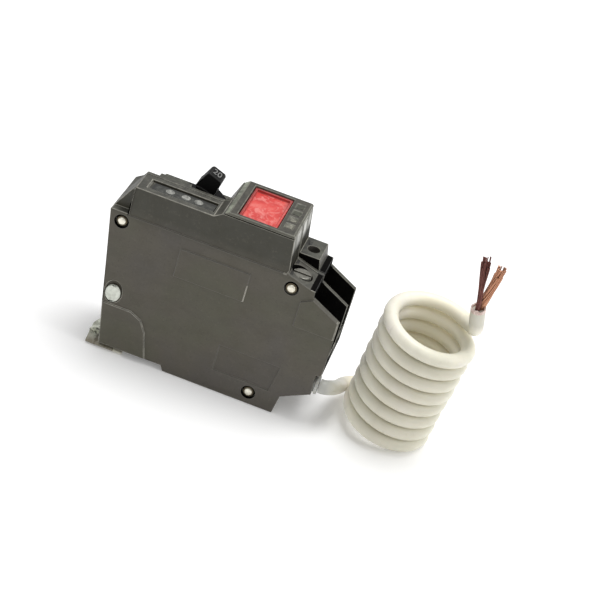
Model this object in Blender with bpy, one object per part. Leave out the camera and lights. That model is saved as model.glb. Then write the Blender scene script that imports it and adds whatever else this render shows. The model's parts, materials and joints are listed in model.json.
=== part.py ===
"""One-pole plug-in GFCI circuit breaker with a coiled neutral pigtail.

Frame: the breaker stands on its back. +Z points out of the handle face, +X towards the load end,
and +Y from the electronics half to the contact half. The origin is under the middle of the case.
Lengths below are in millimetres; MM turns them into Blender's metres.
"""

import math

import bmesh
import bpy
from mathutils import Matrix, Vector

MM = 0.001
GAP = 0.3

# Case, across its width (Y)
NEAR_PAD = -12.7
NEAR_FACE = -12.1
NEAR_BAND = -11.6
NEAR_INNER = -10.7
SPLIT_NEAR = -1.05
BARRIER_HALF = 0.75
SPLIT_FAR = 1.05
FAR_INNER = 11.2
FAR_FACE = 12.7

# Case, along its length (X) and depth (Z)
LEFT = -39.6
RIGHT = 39.6
BACK = 2.0
STRIP_TOP = 60.6
FAR_TOP = 55.5
BLOCK_TOP = 62.3
BEZEL_BASE = BLOCK_TOP + GAP
BEZEL_TOP = 63.7
WELL_X = 23.3

# Handle
PIVOT_X = -19.3
PIVOT_Z = 44.5
SKIRT_R = 15.5
LOW_SKIRT_R = 12.5
HANDLE_LEAN = 21.0
HANDLE_Y = (3.9, 9.9)
PIN_R = 1.1

# Fasteners: through rivets at (x, z)
RIVET_CORNER = (-35.2, 47.4)
RIVET_FOOT = (18.7, 4.1)
RIVET_STRAP = (-32.2, 22.0)
RIVET_NEUTRAL = (22.0, 46.2)
SHANK_R = 1.2

# Test button
BUTTON_X = (-0.6, 12.0)
BUTTON_Y = (-10.1, 10.7)
STEM = (5.7, -5.5)

# Pigtail
WIRE_R = 2.42
EXIT_Y = -8.6
EXIT_Z = 14.0
GLAND_END = 39.4
COIL_R = (12.98, 13.69)
COIL_RISE = 41.6
COIL_BASE = (62.58, 2.76)
COIL_AXIS = (0.101, -0.0371, 1.0)


# ---------------------------------------------------------------- helpers


def clear_scene():
    for old in list(bpy.data.objects):
        bpy.data.objects.remove(old, do_unlink=True)


def material(name, colour, roughness, metallic=0.0):
    found = bpy.data.materials.get(name)
    if found:
        return found
    made = bpy.data.materials.new(name)
    made.use_nodes = True
    shader = made.node_tree.nodes["Principled BSDF"]
    shader.inputs["Base Color"].default_value = (*colour, 1.0)
    shader.inputs["Roughness"].default_value = roughness
    shader.inputs["Metallic"].default_value = metallic
    return made


def case_grey():
    return material("case_grey", (0.09, 0.082, 0.068), 0.55)


def case_dark():
    return material("case_dark", (0.045, 0.042, 0.037), 0.55)


def black_plastic():
    return material("black_plastic", (0.012, 0.012, 0.012), 0.4)


def red_plastic():
    return material("red_plastic", (0.72, 0.07, 0.06), 0.45)


def steel():
    return material("steel", (0.56, 0.56, 0.54), 0.35, 1.0)


def plated():
    return material("plated", (0.7, 0.69, 0.65), 0.3, 1.0)


def copper():
    return material("copper", (0.75, 0.36, 0.2), 0.35, 1.0)


def silver():
    return material("silver", (0.8, 0.8, 0.78), 0.25, 1.0)


def white_wire():
    return material("white_wire", (0.7, 0.67, 0.56), 0.5)


def board_green():
    return material("board_green", (0.03, 0.16, 0.06), 0.5)


def finish(obj, look):
    obj.data.materials.clear()
    obj.data.materials.append(look)
    if obj.type == "MESH":
        obj.data.shade_smooth()
        obj.data.set_sharp_from_angle(angle=math.radians(30))
    return obj


def mesh_object(name, bm):
    bmesh.ops.recalc_face_normals(bm, faces=bm.faces)
    mesh = bpy.data.meshes.new(name)
    bm.to_mesh(mesh)
    bm.free()
    obj = bpy.data.objects.new(name, mesh)
    bpy.context.scene.collection.objects.link(obj)
    return obj


def extrude(name, outline, low, high, along="Y"):
    """A prism: the outline in the other two axes, in X, Y, Z order, from low to high along one axis."""
    place = {
        "X": lambda u, v, w: (w, u, v),
        "Y": lambda u, v, w: (u, w, v),
        "Z": lambda u, v, w: (u, v, w),
    }[along]
    bm = bmesh.new()
    ends = [[bm.verts.new(Vector(place(u, v, w)) * MM) for u, v in outline] for w in (low, high)]
    bm.faces.new(ends[0])
    bm.faces.new(list(reversed(ends[1])))
    count = len(outline)
    for i in range(count):
        j = (i + 1) % count
        bm.faces.new((ends[0][i], ends[1][i], ends[1][j], ends[0][j]))
    return mesh_object(name, bm)


def box(name, x, y, z):
    return extrude(name, [(x[0], z[0]), (x[1], z[0]), (x[1], z[1]), (x[0], z[1])], *y)


def arc(centre, radius, start, end, steps):
    """Points on a circle; the angle is from +Z towards +X, in degrees."""
    points = []
    for i in range(steps + 1):
        a = math.radians(start + (end - start) * i / steps)
        points.append((centre[0] + radius * math.sin(a), centre[1] + radius * math.cos(a)))
    return points


def disc(centre, radius, steps):
    return arc(centre, radius, 0, 360 * (steps - 1) / steps, steps - 1)


def oval(centre, half_u, half_v, steps):
    return [(centre[0] + half_u * (u - centre[0]) / 1.0, centre[1] + half_v * (v - centre[1]))
            for u, v in disc(centre, 1.0, steps)]


def rod(name, centre, radius, low, high, along="Y", steps=20):
    """A round bar along one axis, centred in the other two."""
    return extrude(name, disc(centre, radius, steps), low, high, along)


def strip(points, thickness):
    """The outline of a bent strip of even thickness along a middle line."""
    line = [Vector(p) for p in points]
    sides = ([], [])
    for i, here in enumerate(line):
        before = (here - line[i - 1]).normalized() if i else None
        after = (line[i + 1] - here).normalized() if i + 1 < len(line) else None
        heading = ((before or after) + (after or before)).normalized()
        square = Vector((-heading.y, heading.x))
        reach = thickness / 2 / max(0.5, heading.dot(after or before))
        sides[0].append(tuple(here + square * reach))
        sides[1].append(tuple(here - square * reach))
    return sides[0] + sides[1][::-1]


def combine(body, other, operation):
    modifier = body.modifiers.new(operation.lower(), "BOOLEAN")
    modifier.operation = operation
    modifier.object = other
    other.hide_render = True
    other.display_type = "WIRE"
    other.name = f"{body.name}_{operation.lower()}_{len(body.modifiers)}"


def cut(body, *cutters):
    for cutter in cutters:
        combine(body, cutter, "DIFFERENCE")


def join(body, *pieces):
    for piece in pieces:
        combine(body, piece, "UNION")


def on_axis(obj, x, y, z):
    """Moves the object's origin to a point on its joint's axis, leaving the shape in place."""
    at = Vector((x, y, z)) * MM
    obj.data.transform(Matrix.Translation(-at))
    obj.location = at
    for modifier in obj.modifiers:
        helper = modifier.object
        helper.data.transform(Matrix.Translation(-at))
        helper.parent = obj
    return obj


def tube(name, points, radius, resolution, look):
    curve = bpy.data.curves.new(name, "CURVE")
    curve.dimensions = "3D"
    curve.bevel_depth = radius * MM
    curve.bevel_resolution = resolution
    curve.use_fill_caps = True
    spline = curve.splines.new("POLY")
    spline.points.add(len(points) - 1)
    for point, place in zip(spline.points, points):
        point.co = (*(Vector(place) * MM), 1.0)
    spline.use_smooth = True
    obj = bpy.data.objects.new(name, curve)
    bpy.context.scene.collection.objects.link(obj)
    obj.data.materials.append(look)
    return obj


def smooth_route(route, per_span):
    """Points on a smooth curve (Catmull-Rom) through the route's own points."""
    ends = [2 * Vector(route[0]) - Vector(route[1])]
    ends += [Vector(p) for p in route]
    ends += [2 * ends[-1] - ends[-2]]
    points = []
    for a, b, c, d in zip(ends, ends[1:], ends[2:], ends[3:]):
        for i in range(per_span):
            t = i / per_span
            points.append(
                0.5 * (2 * b + (c - a) * t + (2 * a - 5 * b + 4 * c - d) * t**2
                       + (3 * b - a - 3 * c + d) * t**3)
            )
    points.append(ends[-2])
    return points


# ---------------------------------------------------------------- case


def lower_end():
    """The case outline from the wire pocket's top corner, round the load end and the back."""
    return [
        (29.5, 48.0), (29.6, 45.7), (RIGHT, 40.4), (RIGHT, 19.9), (37.6, 19.2), (38.1, 11.8),
        (28.9, 6.9), (27.8, 0.0), (-10.2, 0.0), (-11.2, BACK), (-32.8, BACK), (LEFT, 50.5),
    ]


def near_outline():
    return lower_end() + [
        (-33.5, STRIP_TOP), (-7.7, STRIP_TOP), (-5.2, BLOCK_TOP), (18.5, BLOCK_TOP),
        (19.9, 50.6), (27.7, 48.2),
    ]


def barrier_outline():
    return lower_end() + [
        (-33.5, STRIP_TOP), (-7.7, STRIP_TOP), (-5.2, BLOCK_TOP), (-1.6, BLOCK_TOP), (-1.6, 56.5),
        (12.9, 56.5), (12.9, BLOCK_TOP), (18.5, BLOCK_TOP), (19.9, 50.6), (27.7, 48.2),
    ]


def far_outline():
    return lower_end() + [
        (-35.3, 53.5), (-31.2, 53.5), (-30.2, FAR_TOP), (-7.9, FAR_TOP), (-5.2, BLOCK_TOP),
        (18.5, BLOCK_TOP), (19.8, 52.0), (26.6, 52.0), (27.4, 48.2),
    ]


def rivet_seats(body, face, inward):
    """Holes for the through rivets, with a wide seat for each head."""
    for centre in (RIVET_CORNER, RIVET_FOOT):
        cut(body, rod("hole", centre, SHANK_R + GAP, -20, 20, steps=16))
        seat = sorted((face - 2 * inward, face + 1.7 * inward))
        cut(body, rod("seat", centre, 2.4, *seat, steps=24))
    cut(body, rod("hole", RIVET_STRAP, SHANK_R + GAP, -20, 20, steps=16))


def near_cover():
    cover = extrude("near_cover", near_outline(), NEAR_FACE, SPLIT_NEAR)
    # Raised areas of the broad face: line corner, rating panel, load end
    corner = [(-32.6, 2.2), (-16.9, 2.2), (-19.0, 11.5), (-21.2, 15.5), (-25.0, 17.4), (-34.8, 17.4)]
    end_pad = [(26.0, 33.9), (39.3, 33.9), (39.3, 40.3), (29.9, 45.1), (26.0, 43.0)]
    join(cover, extrude("pad", corner, NEAR_PAD, NEAR_FACE + 0.5))
    join(cover, box("pad", (-14.8, 8.6), (NEAR_PAD + 0.15, NEAR_FACE + 0.4), (35.6, 45.8)))
    join(cover, extrude("pad", end_pad, NEAR_PAD, NEAR_FACE + 0.45))
    # Set-back areas: upper band, foot panel, top line-end corner, label bed
    band = [(-33.7, 50.3), (19.2, 50.3), (25.0, 64.0), (-33.7, 64.0)]
    foot = [(5.5, 7.6), (18.5, 7.6), (24.8, 7.4), (26.3, 17.3), (5.5, 17.3)]
    cut(cover, extrude("band", band, -14, NEAR_BAND))
    cut(cover, extrude("foot", foot, -14, NEAR_FACE + 0.45))
    cut(cover, box("corner", (-42, -33.72), (-14, -9.2), (50.9, 63)))
    cut(cover, box("label_bed", (-30.6, -8.4), (-9.2, -3.2), (59.5, 62)))
    # Electronics space, lug space, wire pocket and the line jaw's bay
    main = [
        (-28.0, 19.2), (-28.0, 26.5), (-32.6, 30.5), (-34.2, 42.0), (-30.6, 44.0), (-30.6, 58.2),
        (-7.0, 58.2), (-4.0, 60.0), (16.6, 60.0), (17.2, 24.0), (33.0, 22.6), (35.4, 20.5),
        (35.4, 12.6), (27.5, 8.8), (24.0, 8.8), (14.2, 8.8), (12.0, 4.2), (-14.0, 4.2), (-14.0, 19.2),
    ]
    cut(cover, extrude("main", main, NEAR_INNER, 0))
    cut(cover, box("button_well", (-1.3, 12.7), (-10.6, 0), (58, 66)))
    pocket = [(19.4, 30.5), (28.6, 30.5), (28.6, 26.5), (42.0, 26.5), (42.0, 50.0), (30.3, 50.0),
              (30.3, 46.0), (19.4, 46.0)]
    cut(cover, extrude("pocket", pocket, NEAR_INNER - 0.25, 0))
    cut(cover, rod("screw_well", (WELL_X, -6.2), 3.6, 44, 56, "Z", 28))
    bay = [(-42.0, -2.0), (-16.5, -2.0), (-16.5, 10.0), (-20.5, 15.0), (-42.0, 15.0)]
    cut(cover, extrude("jaw_bay", bay, -11.2, 0))
    cut(cover, rod("gland_hole", (EXIT_Y, EXIT_Z), 2.9, 32, 42, "X", 24))
    rivet_seats(cover, NEAR_FACE, 1)
    cut(cover, extrude("strap_seat", oval(RIVET_STRAP, 2.95, 4.15, 24), -14, NEAR_FACE + 0.8))
    cut(cover, rod("neutral_hole", RIVET_NEUTRAL, 0.8 + GAP, -14, -10, steps=16))
    cut(cover, box("strap_slot", (19.4, 24.4), (NEAR_INNER - 0.25, -9.05), (45.5, 48.2)))
    cut(cover, rod("neutral_seat", RIVET_NEUTRAL, 2.4, -14, NEAR_FACE + 0.75, steps=24))
    return finish(cover, case_grey())


def centre_barrier():
    plate = extrude("centre_barrier", barrier_outline(), -BARRIER_HALF, BARRIER_HALF)
    for centre in (RIVET_CORNER, RIVET_FOOT, RIVET_STRAP):
        cut(plate, rod("hole", centre, SHANK_R + GAP, -5, 5, steps=16))
    cut(plate, box("strap_window", (-35.0, -26.0), (-3, 3), (5.0, 12.0)))
    cut(plate, rod("lead_window", (30.0, 18.0), 2.2, -3, 3, steps=16))
    return finish(plate, case_grey())


def far_case():
    case = extrude("far_case", far_outline(), SPLIT_FAR, FAR_FACE)
    join(case, box("guard", (-29.9, -19.4), (SPLIT_FAR + 0.05, 3.3), (55.0, 60.2)))
    main = [
        (-34.3, 18.6), (-27.6, 18.6), (-27.6, 25.6), (-34.6, 25.6), (-35.6, 42.4), (-30.9, 44.0),
        (-30.9, 51.4), (-29.2, 53.4), (-8.6, 53.4), (-4.0, 55.8), (16.4, 55.8), (17.2, 24.4),
        (33.0, 22.6), (35.4, 20.5), (35.4, 12.6), (27.5, 8.8), (14.2, 8.8), (12.0, 2.4),
        (-9.6, 2.4), (-10.6, 4.2), (-31.4, 4.2),
    ]
    cut(case, extrude("main", main, 0, FAR_INNER))
    pivot = (PIVOT_X, PIVOT_Z)
    cut(case, rod("handle_slot", pivot, LOW_SKIRT_R + 0.4, 3.35, 10.5, steps=56))
    sweep = arc(pivot, SKIRT_R + 0.4, -41, 90, 40) + arc(pivot, LOW_SKIRT_R, 90, -41, 20)
    cut(case, extrude("skirt_slot", sweep, 3.35, 10.5))
    cut(case, box("button_well", (-1.3, 12.7), (0, 11.2), (57.4, 66)))
    pocket = [(19.4, 30.5), (28.6, 30.5), (28.6, 26.5), (42.0, 26.5), (42.0, 50.0), (30.3, 50.0),
              (30.3, 46.0), (19.4, 46.0)]
    cut(case, extrude("pocket", pocket, 0, FAR_INNER))
    cut(case, box("strap_slot", (16, 20), (4.6, 8.8), (32.2, 33.8)))
    cut(case, rod("screw_well", (WELL_X, 6.0), 2.1, 47, 56, "Z", 24))
    cut(case, rod("screw_bore", (WELL_X, 6.0), 3.0, 44, 48.2, "Z", 24))
    rivet_seats(case, FAR_FACE, -1)
    cut(case, rod("strap_seat", RIVET_STRAP, 2.9, FAR_FACE - 1.7, 14, steps=18))
    return finish(case, case_dark())


def test_bezel():
    side = [(-4.75, BEZEL_BASE), (18.5, BEZEL_BASE), (18.4, 63.3), (17.9, BEZEL_TOP), (-3.2, BEZEL_TOP)]
    bezel = extrude("test_bezel", side, NEAR_BAND, FAR_FACE - 0.1)
    cut(bezel, box("window", (BUTTON_X[0] - GAP, BUTTON_X[1] + GAP),
                   (BUTTON_Y[0] - GAP, BUTTON_Y[1] + GAP), (61, 65)))
    for row in (-6.6, -1.8, 3.0, 7.8):
        cut(bezel, box("mark", (13.7, 16.4), (row - 1.6, row + 1.6), (63.45, 65)))
    return finish(bezel, case_grey())


def label_strip():
    plate = box("label_strip", (-30.3, -8.7), (-8.9, -3.5), (59.5 + GAP, 60.35))
    for x in (-23.7, -18.4, -14.2):
        join(plate, rod("dot", (x, -6.2), 1.35, 60.0, 60.65, "Z", 16))
    return finish(plate, material("label_grey", (0.2, 0.2, 0.17), 0.6))


# ---------------------------------------------------------------- test button


def test_button():
    button = box("test_button", BUTTON_X, BUTTON_Y, (58.9, 63.2))
    cut(button, box("tray", (0.2, 11.2), (-9.3, 9.9), (62.3, 65)))
    cut(button, box("hollow", (0.8, 10.6), (-8.8, 9.4), (57, 61.2)))
    x, y = STEM
    join(button, rod("stem", (x, y), 1.0, 53.4, 61.8, "Z", 16))
    return finish(button, red_plastic())


def button_spring():
    x, y = STEM
    turns, per_turn = 5, 12
    points = []
    for i in range(turns * per_turn + 1):
        a = 2 * math.pi * i / per_turn
        rise = 55.35 + 5.3 * i / (turns * per_turn)
        points.append((x + 1.8 * math.cos(a), y + 1.8 * math.sin(a), rise))
    return tube("button_spring", points, 0.22, 0, steel())


def spring_shelf():
    """The ring that the button's spring stands on, carried by the board."""
    x, y = STEM
    shelf = box("spring_shelf", (x - 3.0, x + 3.0), (y - 2.6, -3.6), (53.8, 54.8))
    cut(shelf, rod("hole", STEM, 1.35, 53, 56, "Z", 16))
    return finish(shelf, black_plastic())


def test_contact():
    x, y = STEM
    path = [(x - 6.6, 50.2), (x - 5.4, 50.8), (x + 1.6, 51.6), (x + 2.6, 51.0)]
    return finish(extrude("test_contact_blade", strip(path, 0.4), y - 1.4, -3.6), copper())


# ---------------------------------------------------------------- electronics half


def circuit_board():
    outline = [(-27.2, 21.0), (16.2, 21.0), (16.2, 49.4), (11.0, 49.4), (11.0, 55.4), (0.4, 55.4),
               (0.4, 49.4), (-27.2, 49.4)]
    board = extrude("circuit_board", outline, -3.3, -1.9)
    return finish(board, board_green())


def lathe_ring(name, centre, inner, outer, low, high, steps):
    """A flat ring about an axis along Y."""
    ring = rod(name, centre, outer, low, high, steps=steps)
    cut(ring, rod("bore", centre, inner, low - 1, high + 1, steps=steps))
    return ring


CORE = (-16.2, 36.5)


def current_transformer():
    ring = lathe_ring("current_transformer", CORE, 3.0, 7.4, -6.9, -3.6, 32)
    return finish(ring, material("core_blue", (0.03, 0.06, 0.2), 0.5))


def neutral_inner_lead():
    route = [(32.6, -8.6, 14.0), (26.0, -8.8, 14.2), (14.0, -8.6, 12.4), (2.0, -8.8, 13.6),
             (-8.0, -9.1, 20.0), (-13.8, -9.1, 28.0), (-16.2, -8.9, 33.8), (-16.2, -6.8, 36.3),
             (-16.2, -5.0, 36.6)]
    return tube("neutral_inner_lead", smooth_route(route, 3), 1.15, 2, white_wire())


def solenoid_frame():
    bracket = [(-3.0, -10.3), (8.6, -10.3), (8.6, -3.6), (7.8, -3.6), (7.8, -9.5), (-2.2, -9.5),
               (-2.2, -3.6), (-3.0, -3.6)]
    frame = extrude("solenoid_frame", bracket, 36.6, 44.6, "Z")
    cut(frame, rod("bore", (-6.4, 40.6), 1.6, -5, 10, "X", 16))
    return finish(frame, steel())


def solenoid_coil():
    coil = rod("solenoid_coil", (-6.4, 40.6), 2.75, -1.9, 7.5, "X", 24)
    cut(coil, rod("bore", (-6.4, 40.6), 1.5, -5, 10, "X", 16))
    return finish(coil, copper())


def solenoid_plunger():
    plunger = rod("solenoid_plunger", (-6.4, 40.6), 1.1, -6.6, 6.4, "X", 16)
    join(plunger, rod("head", (-6.4, 40.6), 1.9, -7.4, -6.2, "X", 16))
    return finish(plunger, steel())


def surge_disc():
    return finish(rod("surge_disc", (-22.2, 25.3), 3.8, -6.6, -3.6, steps=24),
                  material("surge_blue", (0.05, 0.16, 0.5), 0.4))


def control_chip():
    return finish(box("control_chip", (0.5, 9.5), (-5.6, -3.6), (26.0, 32.0)), black_plastic())


def lug_body(name, y):
    lug = box(name, (20.2, 27.8), y, (33.7, 44.6))
    middle = (y[0] + y[1]) / 2
    cut(lug, box("wire_hole", (19, 29), (middle - 2.6, middle + 2.6), (35.6, 42.0)))
    cut(lug, rod("screw_hole", (WELL_X, middle), 2.1, 41, 46, "Z", 20))
    return finish(lug, material("lug_alloy", (0.62, 0.62, 0.6), 0.4, 1.0))


def lug_screw(name, y, head_r, head_top):
    screw = rod(name, (WELL_X, y), head_r, head_top - 2.0, head_top, "Z", 28)
    join(screw, rod("shank", (WELL_X, y), 1.8, 41.0, head_top - 1.0, "Z", 20))
    cut(screw, box("slot", (WELL_X - 3.5, WELL_X + 3.5), (y - 0.45, y + 0.45),
                   (head_top - 1.1, head_top + 1)))
    return on_axis(finish(screw, plated()), WELL_X, y, head_top)


def neutral_strap():
    outline = [(19.8, 31.0), (28.2, 31.0), (28.2, 45.6), (23.9, 45.6), (23.9, 47.9), (20.1, 47.9),
               (20.1, 45.6), (19.8, 45.6)]
    plate = extrude("neutral_strap", outline, -10.65, -10.15)
    cut(plate, rod("hole", RIVET_NEUTRAL, 0.8 + GAP, -12, -9, steps=16))
    return finish(plate, copper())


# ---------------------------------------------------------------- contact half


def lever_point(radius, across):
    a = math.radians(HANDLE_LEAN)
    return (PIVOT_X + radius * math.sin(a) + across * math.cos(a),
            PIVOT_Z + radius * math.cos(a) - across * math.sin(a))


def handle():
    pivot = (PIVOT_X, PIVOT_Z)
    first, last = HANDLE_LEAN - 17, HANDLE_LEAN + 66
    skirt = arc(pivot, SKIRT_R, first, last, 24) + arc(pivot, SKIRT_R - 1.5, last, first, 24)
    grip = extrude("handle", skirt, HANDLE_Y[0] - 0.2, HANDLE_Y[1] + 0.2)
    lever = [lever_point(14.6, -4.9), lever_point(20.7, -4.2), lever_point(21.3, -3.6),
             lever_point(21.3, 0.6), lever_point(20.7, 1.2), lever_point(14.6, 1.9)]
    join(grip, extrude("lever", lever, *HANDLE_Y))
    first, last = HANDLE_LEAN - 51, HANDLE_LEAN - 13
    low_skirt = arc(pivot, LOW_SKIRT_R, first, last, 12) + arc(pivot, LOW_SKIRT_R - 1.5, last, first, 12)
    join(grip, extrude("low_skirt", low_skirt, HANDLE_Y[0] - 0.2, HANDLE_Y[1] + 0.2))
    web = arc(pivot, SKIRT_R - 0.8, HANDLE_LEAN - 16, HANDLE_LEAN + 26, 8) + [pivot]
    web = [lever_point(11.0, -4.2)] + web
    join(grip, extrude("web", web, 6.1, 7.7))
    join(grip, rod("hub", pivot, 3.2, HANDLE_Y[0], HANDLE_Y[1], steps=24))
    cut(grip, rod("bore", pivot, PIN_R + GAP, 0, 14, steps=20))
    return on_axis(finish(grip, black_plastic()), PIVOT_X, 0, PIVOT_Z)


ARM_PIVOT = (-13.5, 36.0)
CRADLE_PIVOT = (1.0, 40.5)
ARMATURE_PIVOT = (9.5, 22.5)


def contact_arm():
    blade = [(-26.6, 10.9), (-24.6, 10.9), (-24.2, 14.5), (-12.4, 34.4), (-11.6, 37.2),
             (-14.8, 37.6), (-16.4, 33.6), (-26.4, 16.6)]
    arm = extrude("contact_arm", blade, 5.7, 7.5)
    join(arm, rod("boss", ARM_PIVOT, 2.6, 4.9, 8.3, steps=24))
    cut(arm, rod("bore", ARM_PIVOT, 0.9 + GAP, 0, 14, steps=16))
    return on_axis(finish(arm, copper()), ARM_PIVOT[0], 0, ARM_PIVOT[1])


def contact_tips():
    moving = box("moving_contact_tip", (-28.2, -26.9), (5.2, 8.0), (11.6, 15.4))
    fixed = box("fixed_contact_tip", (-29.9, -28.5), (4.9, 8.3), (11.2, 15.8))
    return finish(moving, silver()), finish(fixed, silver())


def line_strap():
    """From beside the fixed tip down, and across under the barrier's window to the jaw."""
    upright = [(-31.3, 5.6), (-30.2, 5.6), (-30.2, 16.9), (-31.3, 16.9)]
    strap = extrude("line_strap", upright, 4.6, 8.6)
    join(strap, box("crossing", (-31.3, -28.0), (-4.4, 5.4), (6.4, 7.4)))
    join(strap, box("riser", (-31.3, -28.0), (-4.4, -3.4), (6.9, 13.1)))
    return finish(strap, copper())


def line_jaw():
    """Two spring leaves under a bridge: they pinch in, then flare out at the mouth."""
    left = [(-12.0, 0.45), (-9.0, 2.8), (-10.4, 6.2), (-10.4, 11.4)]
    right = [(-5.3, 11.4), (-5.3, 6.2), (-7.0, 3.2), (-5.4, 0.9)]
    jaw = extrude("line_jaw", strip(left + right, 0.8), -37.2, -24.5, "X")
    cut(jaw, extrude("round_end", [(-38, 14), (-38, 3.4), (-36.9, 4.8), (-35.4, 6.4), (-33.4, 7.6),
                                   (-31.4, 14)], -14, 0))
    return finish(jaw, plated())


def jaw_spring():
    path = [(-10.2, 12.6), (-4.9, 12.6), (-4.2, 11.9), (-4.2, 7.0)]
    return finish(extrude("jaw_spring", strip(path, 0.5), -27.6, -24.8, "X"), steel())


def arc_plates():
    plates = []
    for level in range(4):
        z = 5.6 + 2.1 * level
        outline = [(-25.0, 1.7), (-12.0, 1.7), (-12.0, 10.9), (-25.0, 10.9), (-25.0, 8.9),
                   (-15.2, 8.9), (-15.2, 4.1), (-25.0, 4.1)]
        plates.append(finish(extrude(f"arc_plate_{level + 1}", outline, z, z + 0.7, "Z"), steel()))
    return plates


def cradle():
    lever = [(-9.2, 36.0), (-6.0, 36.9), (1.0, 38.1), (6.6, 34.7), (8.4, 34.7), (8.4, 35.3), (7.6, 36.1),
             (1.4, 42.2), (-6.4, 38.8), (-9.2, 37.8)]
    body = extrude("cradle", lever, 5.5, 7.7)
    cut(body, rod("bore", CRADLE_PIVOT, 0.9 + GAP, 0, 14, steps=16))
    return on_axis(finish(body, steel()), CRADLE_PIVOT[0], 0, CRADLE_PIVOT[1])


def toggle_spring():
    start, end = Vector((-18.6, 3.3, 27.6)), Vector((-9.0, 3.3, 36.4))
    along = (end - start).normalized()
    side = Vector((0, 1, 0))
    other = along.cross(side)
    turns, per_turn = 9, 10
    count = turns * per_turn
    points = []
    for i in range(count + 1):
        a = 2 * math.pi * i / per_turn
        points.append(start + (end - start) * i / count + 1.1 * (math.cos(a) * side + math.sin(a) * other))
    return tube("toggle_spring", points, 0.22, 0, steel())


def armature():
    shape = [(9.0, 21.3), (10.0, 21.3), (10.0, 38.2), (8.1, 38.2), (8.1, 37.2), (9.0, 37.2)]
    plate = extrude("armature", shape, 4.2, 9.0)
    join(plate, rod("boss", ARMATURE_PIVOT, 1.6, 3.6, 9.6, steps=20))
    cut(plate, rod("bore", ARMATURE_PIVOT, 0.6 + GAP, 0, 14, steps=14))
    return on_axis(finish(plate, steel()), ARMATURE_PIVOT[0], 0, ARMATURE_PIVOT[1])


def magnet_yoke():
    shape = [(11.3, 3.3), (15.2, 3.3), (15.2, 10.3), (11.3, 10.3), (11.3, 9.4), (14.2, 9.4),
             (14.2, 4.2), (11.3, 4.2)]
    return finish(extrude("magnet_yoke", shape, 25.0, 33.0, "Z"), steel())


def bimetal():
    return finish(box("bimetal", (12.2, 13.0), (5.0, 8.6), (11.2, 37.5)), material(
        "bimetal", (0.6, 0.52, 0.4), 0.35, 1.0))


def load_strap():
    path = [(11.8, 10.4), (16.1, 10.4), (16.1, 33.0), (27.4, 33.0)]
    return finish(extrude("load_strap", strip(path, 0.8), 5.0, 8.4), copper())


def flexible_braid():
    route = [(-13.5, 9.3, 33.9), (-11.0, 9.6, 28.0), (-5.0, 9.9, 23.0), (2.0, 10.0, 23.0),
             (6.6, 10.05, 28.0), (9.2, 10.05, 33.4), (12.6, 9.6, 35.2)]
    return tube("flexible_braid", smooth_route(route, 4), 0.7, 2, copper())


def pins():
    places = {
        "handle_pin": ((PIVOT_X, PIVOT_Z), PIN_R),
        "arm_pin": (ARM_PIVOT, 0.9),
        "cradle_pin": (CRADLE_PIVOT, 0.9),
        "armature_pin": (ARMATURE_PIVOT, 0.6),
    }
    return [finish(rod(name, centre, radius, 1.4, 10.9, steps=16), steel())
            for name, (centre, radius) in places.items()]


# ---------------------------------------------------------------- fasteners


def rivets():
    made = []
    for name, centre in (("case_rivet_corner", RIVET_CORNER), ("case_rivet_foot", RIVET_FOOT)):
        rivet = rod(name, centre, SHANK_R, NEAR_FACE + 1.2, FAR_FACE - 1.2, steps=16)
        join(rivet, rod("near_head", centre, 1.8, NEAR_FACE + 0.5, NEAR_FACE + 1.4, steps=24))
        join(rivet, rod("far_head", centre, 1.8, FAR_FACE - 1.4, FAR_FACE - 0.5, steps=24))
        made.append(finish(rivet, plated()))
    strap = rod("line_strap_rivet", RIVET_STRAP, SHANK_R, NEAR_FACE + 0.2, FAR_FACE - 1.2, steps=16)
    join(strap, extrude("near_head", oval(RIVET_STRAP, 2.6, 3.8, 24), NEAR_FACE - 0.3, NEAR_FACE + 0.5))
    join(strap, rod("far_head", RIVET_STRAP, 2.2, FAR_FACE - 1.4, FAR_FACE - 0.5, steps=20))
    made.append(finish(strap, plated()))
    small = rod("neutral_strap_rivet", RIVET_NEUTRAL, 0.8, NEAR_FACE + 0.2, -9.7, steps=14)
    join(small, rod("near_head", RIVET_NEUTRAL, 1.8, NEAR_FACE - 0.05, NEAR_FACE + 0.45, steps=24))
    join(small, rod("tail_head", RIVET_NEUTRAL, 1.3, -9.85, -9.4, steps=16))
    made.append(finish(small, plated()))
    return made


# ---------------------------------------------------------------- pigtail


def pigtail_gland():
    gland = rod("pigtail_gland", (EXIT_Y, EXIT_Z), 2.6, 33.0, 38.9, "X", 20)
    join(gland, rod("lip", (EXIT_Y, EXIT_Z), 3.1, 38.5, GLAND_END, "X", 20))
    return finish(gland, white_wire())


LEAD_ROUTE = [
    (39.8, -8.6, 14.0), (41.1, -8.55, 14.0), (42.6, -6.9, 13.4), (44.1, -2.2, 11.2), (44.9, 3.2, 8.6),
    (46.5, 10.3, 6.2), (51.7, 17.2, 4.3), (58.3, 20.7, 3.0), (65.0, 21.0, 2.4),
]
TAIL_ROUTE = [
    (78.9, 5.4, 46.4), (79.6, 2.6, 47.8), (79.5, 0.4, 50.4), (78.9, -0.8, 53.6), (78.4, -1.4, 56.5),
]


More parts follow.
